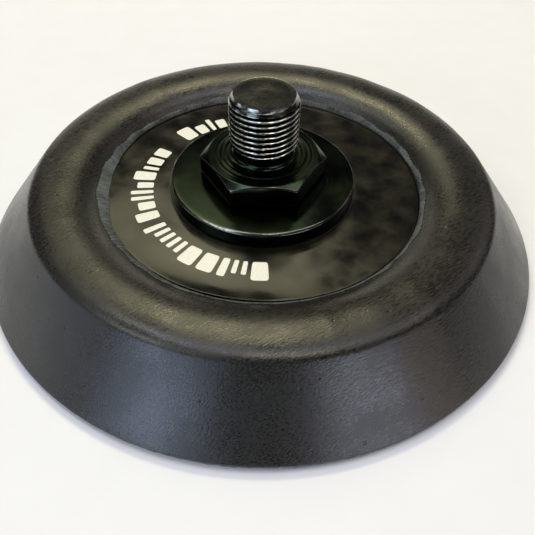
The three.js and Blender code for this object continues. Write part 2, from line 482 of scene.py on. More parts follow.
@dataclass(frozen=True)
class BlackOxideSteel(Finish):
    """Turned steel, chemically blackened: near-black with an oily green or blue cast, bright where worn.

    The tool's rings show in the gloss, and the wear attribute is where handling has rubbed the black off.
    """

    black: str = "#14181c"
    cast: str = "#2e3a2b"
    bare: str = "#c8c8c3"
    patch_size: float = 6.0
    ring_pitch: float = 0.26
    scuff_size: float = 0.35
    scuff_relief: float = 0.5  # against a ring's
    least_rubbed: float = 0.25  # of the wear, where no scuff falls
    gloss_range: tuple[float, float] = (-0.05, 0.08)
    bump: tuple[float, float] = (0.22, 0.02)

    def pattern(self, tree: bpy.types.NodeTree, place: Socket) -> Pattern:
        """Oily patches, tool rings by distance from the axis, and worn edges.

        Args:
            tree: the material's node tree.
            place: Object coordinates, in metres.

        Returns:
            The steel's pattern.
        """
        slow = {"Vector": place, "Scale": per_metre(self.patch_size), "Detail": 2.0}
        patch = node(tree, "TexNoise", slow).outputs[0]
        turned = {"W": axis_distance(tree, place), "Scale": per_metre(self.ring_pitch), "Detail": 2.0}
        rings = node(tree, "TexNoise", turned, noise_dimensions="1D").outputs[0]
        fine = {"Vector": place, "Scale": per_metre(self.scuff_size), "Detail": 4.0}
        scuff = node(tree, "TexNoise", fine).outputs[0]
        worn = node(tree, "Attribute", attribute_name="wear").outputs["Fac"]
        rub = {"Value": scuff, "From Min": 0.3, "From Max": 0.5, "To Min": self.least_rubbed}
        rubbed = node(tree, "MapRange", rub).outputs[0]
        bared = node(tree, "Math", {0: worn, 1: rubbed}, operation="MULTIPLY").outputs[0]
        share = node(tree, "MapRange", {"Value": patch, "From Min": 0.2, "From Max": 0.8}).outputs[0]
        raised = {0: scuff, 1: self.scuff_relief, 2: rings}
        relief = node(tree, "Math", raised, operation="MULTIPLY_ADD").outputs[0]
        coats = ((share, self.cast), (bared, self.bare))
        return Pattern(self.black, coats, relief, gloss=(patch, 0.3, 0.7))


@dataclass(frozen=True)
class MottledFinish(Finish):
    """A plain material with a soft mottle in colour and relief: moulded nylon, ink, adhesive, zinc, board."""

    dark: str = "#000000"
    pale: str = "#ffffff"
    mottle: float = 1.0
    gloss_range: tuple[float, float] = (-0.05, 0.05)
    bump: tuple[float, float] = (0.4, 0.02)

    def pattern(self, tree: bpy.types.NodeTree, place: Socket) -> Pattern:
        """One noise, of the mottle's size, drives colour, gloss and relief.

        Args:
            tree: the material's node tree.
            place: Object coordinates, in metres.

        Returns:
            The mottle.
        """
        mottled = {"Vector": place, "Scale": per_metre(self.mottle), "Detail": 4.0}
        noise = node(tree, "TexNoise", mottled).outputs[0]
        share = node(tree, "MapRange", {"Value": noise, "From Min": 0.3, "From Max": 0.7}).outputs[0]
        return Pattern(self.dark, ((share, self.pale),), noise, gloss=(noise, 0.3, 0.7))


@dataclass(frozen=True)
class WovenNylon(Finish):
    """Plain-woven nylon tape: crossing threads in a fine basket relief, with painted shade in the gaps
    between them, and a fuzzy, pale cut edge.
    """

    thread: str = "#17181b"
    # painted shade in the gaps between the threads
    gap: str = "#08080a"
    fuzz: str = "#6a6e7c"
    thread_spacing: float = 0.45
    thread_wander: float = 0.4
    fuzz_from: float = 37.4
    fuzz_to: float = 37.95
    tuft_size: float = 0.5
    bump: tuple[float, float] = (0.7, 0.1)

    def pattern(self, tree: bpy.types.NodeTree, place: Socket) -> Pattern:
        """Two crossed bands of threads over a darker ground, which is painted shade in the gaps, and fuzz by
        distance from the axis.

        Blender's wave repeats each pi / (10 x scale), so its scale is pi over ten thread spacings.

        Args:
            tree: the material's node tree.
            place: Object coordinates, in metres.

        Returns:
            The weave's pattern.
        """
        scale = math.pi / (10 * self.thread_spacing * MM)
        bands = {"Vector": place, "Scale": scale, "Distortion": self.thread_wander}
        warp, weft = (node(tree, "TexWave", bands, bands_direction=axis).outputs["Fac"] for axis in "XY")
        weave = node(tree, "Math", {0: warp, 1: weft}, operation="MAXIMUM").outputs[0]
        edge = {"From Min": self.fuzz_from * MM, "From Max": self.fuzz_to * MM}
        rim = node(tree, "MapRange", {"Value": axis_distance(tree, place), **edge}).outputs[0]
        fine = {"Vector": place, "Scale": per_metre(self.tuft_size), "Detail": 3.0}
        tufts = node(tree, "TexNoise", fine).outputs[0]
        fuzzy = node(tree, "Math", {0: rim, 1: tufts}, operation="MULTIPLY").outputs[0]
        # the ground between the threads is painted shade
        return Pattern(self.gap, ((weave, self.thread), (fuzzy, self.fuzz)), weave)


# Polyurethane foam, moulded with its own skin: a dull charcoal with a brushed grain, pits painted darker as
# shade, and a soft highlight.
FOAM_SKIN = MouldedFoam("polyurethane_foam_moulded_skin", roughness=0.27)
# The same foam torn open: rougher and paler, with no highlight.
FOAM_TORN = TornFoam("polyurethane_foam_torn", roughness=0.85)
# Steel, turned and chemically blackened: dark mirror-like faces, with fine rings and bright edges.
BLACK_STEEL = BlackOxideSteel("steel_turned_black_oxide", roughness=0.16, metallic=1.0)
# Gloss varnish over black print on polyester film: near-black, mirror-like, blurred a little by finger marks.
GLOSS_FILM = MottledFinish(
    "polyester_film_gloss_printed", 0.19, 0.0, 1.55, (-0.08, 0.08), dark="#0d0e0c", pale="#232218", mottle=3.0
)
# Screen-printed white ink: a thick warm white film with a soft gloss and a faint grain.
WHITE_INK = MottledFinish(
    "ink_screen_printed_white", 0.42, dark="#eceadb", pale="#fbfaee", mottle=0.3, bump=(0.4, 0.01)
)
# Glass-filled nylon, injection moulded: a dull dark grey with the grain of its fibres.
GLASS_NYLON = MottledFinish("nylon_glass_filled_moulded", 0.5, dark="#161614", pale="#262623", mottle=0.4)
# Zinc plate on pressed steel: a soft bluish silver.
ZINC_STEEL = MottledFinish(
    "steel_pressed_zinc_plated", 0.34, 1.0, dark="#a8adb2", pale="#c6cacc", mottle=1.2, bump=(0.4, 0.01)
)
# Contact adhesive, rolled on: a rubbery dark film that squeezes out unevenly.
ADHESIVE = MottledFinish("adhesive_contact_rolled", 0.4, dark="#1b1a16", pale="#35322a", mottle=0.6)
# Nylon tape, plain woven and cut: matt black threads with painted shade between them, paler where the cut
# edge has frayed.
WOVEN_TAPE = WovenNylon("nylon_woven_tape", roughness=0.75)
# Nylon monofilament, woven and cut: smooth black bristle with a soft gloss.
HOOK_NYLON = MottledFinish("nylon_monofilament_hooks", 0.33, dark="#0d0d0f", pale="#1b1b1e", mottle=1.0)
# White-painted board under the pad, matt, with a roller's faint stipple.
PALE_BOARD = MottledFinish(
    "board_painted_white", 0.8, dark="#f5f6f9", pale="#f7f8fb", mottle=6.0, bump=(0.4, 0.01)
)


def placed(name: str, data: bpy.types.ID) -> bpy.types.Object:
    """A new object of the scene that holds the data, at the origin."""
    made = bpy.data.objects.new(name, data)
    bpy.context.scene.collection.objects.link(made)
    return made


def meshed(name: str, shell: Shell, finish: Finish) -> bpy.types.Mesh:
    """A surface in millimetres as a mesh in metres.

    Args:
        name: the mesh's name.
        shell: the surface.
        finish: its finish.

    Returns:
        The mesh.
    """
    mesh = bpy.data.meshes.new(name)
    faces = [*shell.quads.tolist(), *shell.triangles.tolist()]
    mesh.from_pydata((shell.points * MM).tolist(), [], faces)
    mesh.materials.append(finish.material())
    return mesh


def piece(
    name: str,
    shell: Shell,
    finish: Finish,
    stands_for: str | None = None,
    wear: np.ndarray | None = None,
    crease: float = 38.0,
) -> bpy.types.Object:
    """Make a surface into a piece that rides on the part's body.

    Args:
        name: the piece's name.
        shell: its surface, in millimetres.
        finish: its finish.
        stands_for: the CAD node that it replaces, if it does.
        wear: for each point, how far the finish is rubbed off, from 0 to 1.
        crease: edges that bend more than this many degrees stay sharp.

    Returns:
        The piece's object, at the origin.
    """
    mesh = meshed(name, shell, finish)
    if wear is not None:
        mesh.attributes.new("wear", "FLOAT", "POINT").data.foreach_set("value", wear.astype(np.float32))
    mesh.shade_smooth()
    mesh.set_sharp_from_angle(angle=math.radians(crease))
    made = placed(name, mesh)
    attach(made, BODY)
    if stands_for:
        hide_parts(stands_for)
    count = 2 * len(shell.quads) + len(shell.triangles)
    log.info("%s: %d triangles, %s", name, count, finish.name)
    return made


# ---- Sub-assemblies ----


@dataclass(frozen=True)
class FoamBody:
    """The moulded foam pad, with the flash that was cut back by hand round the label."""

    side_angle: float = 51.6
    foot: float = 0.1
    shoulder_height: float = 10.0
    crown_radius: float = 27.0
    lip_radius: float = 22.5
    lip_height: float = 9.15
    lip_drop: float = 0.75
    roll: tuple[float, float, float] = (1.7, 1.1, 1.15)  # crown's ease, lip's ease and lip's rise
    clearance: float = 0.1
    pocket_gap: float = 0.05
    columns: int = 480
    step: float = 0.42
    swell: tuple[Ripple, ...] = (Ripple(0.035, range(2, 9), 3), Ripple(0.014, range(11, 30), 5))
    swell_above: float = 0.3  # the foot
    swell_below: float = 3.0  # the crown, where the swell is full
    flash_columns: int = 1440
    flash_thickness: float = 0.2
    flash_arch: float = 0.1
    flash_gap: float = 0.05
    flash_overlap: float = 0.07  # over the skin, at its outer edge
    flash_feather: float = 0.35  # of the thickness, at its torn edge
    flash_tears: Ripple = Ripple(0.03, range(150, 420, 5), 15)
    ragged_outer: tuple[Ripple, ...] = (Ripple(0.08, range(9, 40), 11), Ripple(0.03, range(90, 320, 3), 12))
    ragged_inner: tuple[Ripple, ...] = (Ripple(0.05, range(9, 36), 13), Ripple(0.02, range(80, 300, 3), 14))
    flash_outer: Stops = (
        (0, 22.2), (45, 22.25), (90, 22.2), (140, 22.1), (180, 22.45), (225, 22.3), (315, 22.15)
    )
    flash_inner: Stops = (
        (0, 21.7), (90, 21.65), (140, 21.7), (182, 21.0), (225, 21.4), (255, 21.7), (300, 21.75)
    )

    def side_radius(self, height: float) -> float:
        """Radius of the conical side at a height: the rim's, less the rise over the side's slope."""
        body = span("foam_body")
        rise = height - body.low - self.foot
        return body.radius - rise / math.tan(math.radians(self.side_angle))

    def skin(self) -> np.ndarray:
        """The outer outline, from the shoulder over the crown and in to the lip: two Bezier curves."""
        crown = span("foam_body").high
        shoulder = bezier(
            (self.side_radius(self.shoulder_height), self.shoulder_height),
            (self.side_radius(crown), crown),
            (self.crown_radius, crown),
            steps=16,
        )
        crown_ease, lip_ease, lip_rise = self.roll
        descent = bezier(
            (self.crown_radius, crown),
            (self.crown_radius - crown_ease, crown),
            (self.lip_radius + lip_ease, self.lip_height + lip_rise),
            (self.lip_radius, self.lip_height),
            steps=24,
        )
        return np.vstack([shoulder, descent[1:]])

    def body(self) -> bpy.types.Object:
        """The foam itself: its outline spun about the axis, with a slow swell where the mould was uneven."""
        foam, plate, washer, rivet = (
            span(name) for name in ("foam_body", "backing_plate", "lower_washer", "spindle")
        )
        inner_lip, lip_floor = self.lip_foot()
        flange_wall = plate.radius + self.clearance
        flange_top = plate.low + PlateStack.flange_thickness + self.clearance
        washer_wall = washer.radius + self.clearance
        washer_floor = washer.low - self.clearance
        rivet_wall = Spindle.head_radius + self.clearance
        rivet_floor = rivet.low - self.clearance
        skin = self.skin()
        side = outline(
            [
                (0, foam.low, 0),
                (foam.radius, foam.low, 0.04),
                (foam.radius, foam.low + self.foot, 0.05),
                (*skin[0], 0),
            ],
            spacing=self.step,
        )
        pocket = outline(
            [
                (*skin[-1], 0),
                (inner_lip, lip_floor, 0.1),
                (inner_lip, flange_top, 0),
                (flange_wall, flange_top, 0),
                (flange_wall, plate.low, 0),
                (washer_wall, plate.low, 0),
                (washer_wall, washer_floor, 0),
                (rivet_wall, washer_floor, 0),
                (rivet_wall, rivet_floor, 0),
                (0, rivet_floor, 0),
            ],
            spacing=1.2,
        )
        path = np.vstack([side, skin[1:-1], pocket])
        angle = turn_angles(self.columns)
        radius, height = path[:, :1], path[:, 1:]
        outside = smooth(radius, self.lip_radius, self.crown_radius)
        seen = outside * smooth(height, foam.low + self.swell_above, foam.high - self.swell_below)
        grid = spun(radius, height - np.abs(seen * rippled(angle, self.swell)), angle)
        made = piece("foam_moulded_body", closed_shell(grid), FOAM_SKIN, "foam_body")
        return made

    def lip_foot(self) -> tuple[float, float]:
        """Radius and height of the corner where the lip goes down beside the label."""
        radius = span("label_disc").radius + self.clearance + self.pocket_gap
        return radius, self.lip_height - self.lip_drop

    def lip_height_at(self, radius: np.ndarray) -> np.ndarray:
        """Height of the foam round the label: a straight fall inside the lip, and the skin outside it."""
        profile = np.vstack([[self.lip_foot()], self.skin()[::-1]])
        return np.interp(radius, profile[:, 0], profile[:, 1])

    def flash(self) -> bpy.types.Object:
        """The torn flash: a thin strip from the skin's ragged edge down to the label.

        Its section is a loop: the upper side from the outer edge in, then the lower side back. Both edges
        wander with the angle, and fine tears cross the strip.
        """
        angle = turn_angles(self.flash_columns)
        outer = compass(angle, self.flash_outer) + rippled(angle, self.ragged_outer)
        inner = compass(angle, self.flash_inner) + rippled(angle, self.ragged_inner)
        label = span("label_disc")
        on_label = np.where(inner < label.radius + self.clearance, label.high + self.flash_gap, 0)
        low = np.maximum(self.lip_height_at(inner) + self.flash_gap, on_label)
        high = self.lip_height_at(outer) + self.flash_overlap
        upper = np.linspace(1, 0, 16)[:, None]
        lower = np.linspace(0, 1, 7)[:, None]
        arch = (self.flash_arch + self.flash_tears.at(angle)) * np.sin(np.pi * upper)
        top_height = low + (high - low) * upper + arch
        thickness = self.flash_thickness * (self.flash_feather + (1 - self.flash_feather) * lower)
        under_height = low + (high - low) * lower - thickness
        radius = np.vstack([inner + (outer - inner) * upper, inner + 0.03 + (outer - inner) * lower])
        grid = spun(radius, np.vstack([top_height, under_height]), angle)
        return piece("foam_cut_flash", closed_shell(grid, ring=True), FOAM_TORN)

    def build(self) -> None:
        """Make the foam and its flash."""
        self.body()
        self.flash()


@dataclass(frozen=True)
class HookFace:
    """The working face: hook tape stuck to the foam with contact adhesive."""

    edge_setback: float = 0.06
    tape_bulge: float = 0.05
    tape_seed: int = 31
    glue_bulge: float = 0.04
    glue_seed: int = 41
    fray: float = 0.05
    row_pitch: float = 1.1
    hook_pitch: float = 1.2
    stem_radius: float = 0.07
    curl_radius: float = 0.17
    curl: float = 205.0
    root: float = 0.08  # how far a stem goes into the tape
    floor_gap: float = 0.01
    tip_share: float = 0.75  # a hook's thickness at its tip, against its stem
    lean_spread: float = 12.0  # in degrees
    scatter: float = 0.06
    seed: int = 21
    path_steps: int = 6
    sides: int = 4
    disc_columns: int = 720

    def disc(self, layer: Span, bulge: float, seed: int) -> Shell:
        """A thin disc with a softly uneven edge.

        Args:
            layer: the CAD layer's size.
            bulge: how far the edge's middle stands out past its corners.
            seed: picks the unevenness.

        Returns:
            The disc: a rounded slab's outline, spun, with its radius shortened by an uneven wave.
        """
        thick = layer.high - layer.low
        rounding = thick * 0.3
        edge = layer.radius - self.edge_setback
        path = outline(
            [
                (0, layer.low, 0),
                (edge - bulge, layer.low, rounding),
                (edge, layer.low + thick / 2, rounding),
                (edge - bulge, layer.high, rounding),
                (0, layer.high, 0),
            ],
            spacing=1.5,
        )
        angle = turn_angles(self.disc_columns)
        half = self.fray / 2
        frayed = rippled(angle, (Ripple(half, range(60, 200, 3), seed), Ripple(half, range(5, 20), seed + 1)))
        share = path[:, :1] / layer.radius
        radius = path[:, :1] - np.abs(frayed) * share**8
        return closed_shell(spun(radius, path[:, 1:], angle))

    def hooks(self) -> bpy.types.Object:
        """The hooks: stems with curled ends, in rows that face alternate ways.

        A hook's centre line goes straight down, then round an arc. A square section is carried along it,
        its corners set by the line's own direction, and every hook is the same tube moved to its place.
        """
        pile, tape = span("hook_pile"), span("hook_tape")
        reach = pile.radius - self.curl_radius * 2 - self.stem_radius
        lines = np.arange(-reach, reach, self.hook_pitch)
        rows = np.arange(-reach, reach, self.row_pitch)
        x, y = np.meshgrid(lines, rows)
        x = x + (np.arange(len(rows)) % 2)[:, None] * self.hook_pitch / 2
        facing = np.where(np.arange(len(rows)) % 2, 1.0, -1.0)[:, None] * np.ones_like(x)
        dice = np.random.default_rng(self.seed)
        lean = np.radians(dice.normal(0, self.lean_spread, x.shape))
        x = x + dice.normal(0, self.scatter, x.shape)
        inside = np.hypot(x, y) < reach
        x, y, facing, lean = x[inside], y[inside], facing[inside], lean[inside]
        sweep = np.radians(np.linspace(0, self.curl, self.path_steps))
        centre_height = pile.low + self.curl_radius + self.stem_radius + self.floor_gap
        along = np.concatenate([[0], self.curl_radius * (1 - np.cos(sweep))])
        height = np.concatenate([[tape.low + self.root], centre_height - self.curl_radius * np.sin(sweep)])
        ahead = np.gradient(along)
        rise = np.gradient(height)
        length = np.hypot(ahead, rise)
        corner = np.linspace(0, 2 * np.pi, self.sides, endpoint=False) + np.pi / 4
        thin = np.linspace(1.0, self.tip_share, len(along))[:, None] * self.stem_radius
        out = thin * np.cos(corner)[None, :]
        along_tube = along[:, None] - (rise / length)[:, None] * out
        height_tube = height[:, None] + (ahead / length)[:, None] * out
        across_tube = thin * np.sin(corner)[None, :]
        tube = np.stack([along_tube, across_tube, height_tube], -1)
        caps = [np.repeat(tube[end].mean(0)[None, None], self.sides, 1) for end in (0, -1)]
        one = closed_shell(np.vstack([caps[0], tube, caps[1]]))
        cos, sin = np.cos(lean)[:, None], np.sin(lean)[:, None]
        u, v = one.points[None, :, 0] * facing[:, None], one.points[None, :, 1] * facing[:, None]
        heights = np.broadcast_to(one.points[None, :, 2], u.shape)
        points = np.stack([x[:, None] + u * cos - v * sin, y[:, None] + u * sin + v * cos, heights], -1)
        shift = (np.arange(len(x)) * len(one.points))[:, None, None]
        shell = Shell(
            points.reshape(-1, 3),
            (one.quads[None] + shift).reshape(-1, 4),
            (one.triangles[None] + shift).reshape(-1, 3),
        )
        return piece("hook_field", shell, HOOK_NYLON, "hook_pile", crease=80)

    def build(self) -> None:
        """Make the tape, its hooks and the adhesive."""
        tape = span("hook_tape")
        cloth = self.disc(tape, self.tape_bulge, self.tape_seed)
        woven = piece("hook_tape_weave", cloth, WOVEN_TAPE, "hook_tape")
        self.hooks()
        glue = self.disc(span("adhesive_film"), self.glue_bulge, self.glue_seed)
        piece("adhesive_layer", glue, ADHESIVE, "adhesive_film")


@dataclass(frozen=True)
class KeyedHole:
    """The hole that fits the shank: round, with two flats across Y."""

    radius: float = 4.45
    flat_half: float = 3.85

    def reach(self, angle: np.ndarray) -> np.ndarray:
        """Distance from the axis to the hole's wall: the lesser of the circle's and the flats'."""
        flats = self.flat_half / np.maximum(np.abs(np.sin(angle)), 1e-6)
        return np.minimum(self.radius, flats)


@dataclass(frozen=True)
class PlateStack:
    """The stiff plate and the two washers that the spindle is riveted through."""

    flange_thickness: float = 0.9
    disc_radius: float = 21.5
    inner_chamfer: float = 0.2
    clamping_chamfer: float = 0.25
    hole: KeyedHole = KeyedHole()
    columns: int = 288
    wear_place: float = 0.6  # in from a washer's rim, in chamfers
    wear_width: float = 0.45
    wear_most: float = 0.55

    def keyed(self, corners: Section, rim: float) -> np.ndarray:
        """A ring of the given section whose inner wall follows the keyed hole.

        Args:
            corners: the section from the hole's wall out and back to it, as outline takes them.
            rim: the section's outer radius.

        Returns:
            A grid: each radius between the hole's and the rim's is stretched to start at the wall.
        """
        path = outline(corners, spacing=0.5)
        angle = turn_angles(self.columns)
        share = (path[:, :1] - self.hole.radius) / (rim - self.hole.radius)
        wall = self.hole.reach(angle)
        return spun(wall + share * (rim - wall), path[:, 1:], angle)

    def washer(self, name: str, node_name: str, chamfer: float, finish: Finish, slot: Slot) -> None:
        """A turned washer with chamfered rims, faintly dished by its tool.

        Args:
            name: the piece's name.
            node_name: the CAD washer that it stands for.
            chamfer: the width of the chamfer at the rim.
            finish: its finish.
            slot: the finish's slot; not used.
        """
        size = span(node_name)
        hole, rim = self.hole.radius, size.radius
        rounding = chamfer * 0.4
        corners = [
            (hole, size.low, 0),
            (rim - chamfer, size.low, rounding),
            (rim, size.low + chamfer, rounding),
            (rim, size.high - chamfer, rounding),
            (rim - chamfer, size.high, rounding),
            (hole, size.high, 0),
        ]
        grid = self.keyed(corners, rim)
        inward = (rim - np.hypot(grid[..., 0], grid[..., 1])) / chamfer
        edge = np.exp(-(((inward - self.wear_place) / self.wear_width) ** 2))
        worn = self.wear_most * edge * (grid[..., 2] > size.high - chamfer * 1.2)
        piece(name, closed_shell(grid, ring=True), finish, node_name, wear=worn.reshape(-1))

    def plate(self) -> None:
        """The plate: a disc with a wider flange at its foot."""
        size = span("backing_plate")
        hole, flange = self.hole.radius, size.low + self.flange_thickness
        corners = [
            (hole, size.low, 0),
            (size.radius, size.low, 0.15),
            (size.radius, flange, 0.15),
            (self.disc_radius, flange, 0.2),
            (self.disc_radius, size.high, 0.12),
            (hole, size.high, 0),
        ]
        grid = self.keyed(corners, size.radius)
        piece("plate_moulded", closed_shell(grid, ring=True), GLASS_NYLON, "backing_plate")

    def build(self) -> None:
        """Make the plate and both washers."""
        self.plate()
        self.washer("washer_inner", "lower_washer", self.inner_chamfer, ZINC_STEEL, Slot.ZINC_STEEL)
        clamping = self.clamping_chamfer
        self.washer("washer_clamping", "clamp_washer", clamping, BLACK_STEEL, Slot.BLACK_STEEL)


@dataclass(frozen=True)
class Label:
    """The gloss label disc and the white marks printed on it.

    The marks are plain blocks in three groups, tall and short, where the real disc is printed.
    """

    inner: float = 12.7
    columns: int = 720
    lift: float = 0.3
    lift_angle: float = -103.0
    lift_width: float = 27.0
    lift_reach: float = 3.2  # in from the rim
    lift_power: float = 2.4
    unevenness: float = 0.012
    uneven_turns: tuple[Ripple, Ripple] = (Ripple(1.0, range(2, 9), 51), Ripple(1.0, range(3, 12), 52))
    uneven_across: float = 0.7  # radians for each millimetre of radius
    flat_hole: float = 2.0  # wide, round the hole
    print_inner: float = 15.05
    print_outer: float = 18.1
    ink: float = 0.025
    gap: float = 1.9
    block_power: float = 7.0
    block_columns: int = 56
    groups: tuple[tuple[float, Marks], ...] = (
        (
            -88.0,
            (
                (7.2, TALL),
                *[(2.2, SHORT)] * 2,
                (3.4, TALL),
                *[(7.0, TALL)] * 2,
                *[(2.4, SHORT)] * 4,
                (2.9, TALL),
            ),
        ),
        (
            -153.0,
            (
                (5.6, TALL),
                (5.4, SHORT),
                *[(2.4, TALL)] * 2,
                (4.2, SHORT),
                (6.4, TALL),
                (2.4, SHORT),
                (5.6, SHORT),
                (6.2, SHORT),
            ),
        ),
        (-223.0, ((7.6, TALL), (5.6, SHORT), (2.4, TALL), (5.2, SHORT))),
    )

    def surface(self, radius: np.ndarray, angle: np.ndarray) -> np.ndarray:
        """How far the film stands above flat: a slow unevenness, and a rim that curls up over one stretch.

        The curl is a bell in angle times a power of the distance in from the rim that it reaches.

        Args:
            radius: distances from the axis.
            angle: angles, in radians.

        Returns:
            The height at each point.
        """
        away = (np.degrees(angle) - self.lift_angle + 180) % 360 - 180
        bell = np.exp(-((away / self.lift_width) ** 2))
        rim = span("label_disc").radius
        share = np.clip((radius - rim) / self.lift_reach + 1, 0, 1)
        turning, plain = (wave.at(angle) for wave in self.uneven_turns)
        uneven = turning * np.sin(radius * self.uneven_across) + plain
        held = smooth(radius, self.inner, self.inner + self.flat_hole)
        return self.lift * bell * share**self.lift_power + self.unevenness * uneven * held

    def disc(self) -> None:
        """The film: a thin ring with rounded edges that follows the surface above."""
        size = span("label_disc")
        rim, inner = size.radius, self.inner
        path = outline(
            [
                (inner, (size.low + size.high) / 2, 0),
                (inner, size.low, 0.02),
                (rim, size.low, 0.05),
                (rim, size.high, 0.06),
                (inner, size.high, 0.04),
                (inner, (size.low + size.high) / 2 + 0.01, 0),
            ],
            spacing=0.35,
        )
        angle = turn_angles(self.columns)
        radius, height = path[:, :1], path[:, 1:]
        grid = spun(radius, height + self.surface(radius, angle) + self.unevenness * 2, angle)
        piece("label_film", closed_shell(grid, ring=True), GLOSS_FILM, "label_disc")

    def mark(self, start: float, width: float, height: MarkHeight) -> Shell:
        """One printed block, a pillow of ink on the film.

        Its outline is a superellipse in (angle, radius), which is a rectangle with round corners. Rings
        shrink from it to the middle, the ink's thickness falls off at the edge, and a flat ring closes it
        below.

        Args:
            start: the angle where it starts, in degrees; it runs clockwise from there.
            width: its width, in degrees.
            height: how much of the printed band it fills, from the inner edge.

        Returns:
            The block's surface.
        """
        tall = (self.print_outer - self.print_inner) * height.value
        middle = self.print_inner + tall / 2
        turn = turn_angles(self.block_columns)
        power = 2 / self.block_power
        across = np.sign(np.cos(turn)) * np.abs(np.cos(turn)) ** power * width / 2
        outward = np.sign(np.sin(turn)) * np.abs(np.sin(turn)) ** power * tall / 2
        shrink = np.array([0, 0.5, 0.85, 0.97, 1.0, 1.0, 0.5, 0.0])[:, None]
        thick = np.array([1.0, 1.0, 1.0, 0.85, 0.2, -1.2, -1.2, -1.2])[:, None] * self.ink
        angle = np.radians(start - width / 2 + across * shrink)
        radius = middle + outward * shrink
        base = span("label_disc").high + self.unevenness * 2
        return closed_shell(spun(radius, base + self.surface(radius, angle) + thick, angle))

    def marks(self) -> None:
        """All printed blocks, as one piece."""
        shells = []
        for start, blocks in self.groups:
            for width, height in blocks:
                shells.append(self.mark(start, width, height))
                start -= width + self.gap
        piece("label_printed_marks", joined(shells), WHITE_INK)

    def build(self) -> None:
        """Make the film and its print."""
        self.disc()
        self.marks()


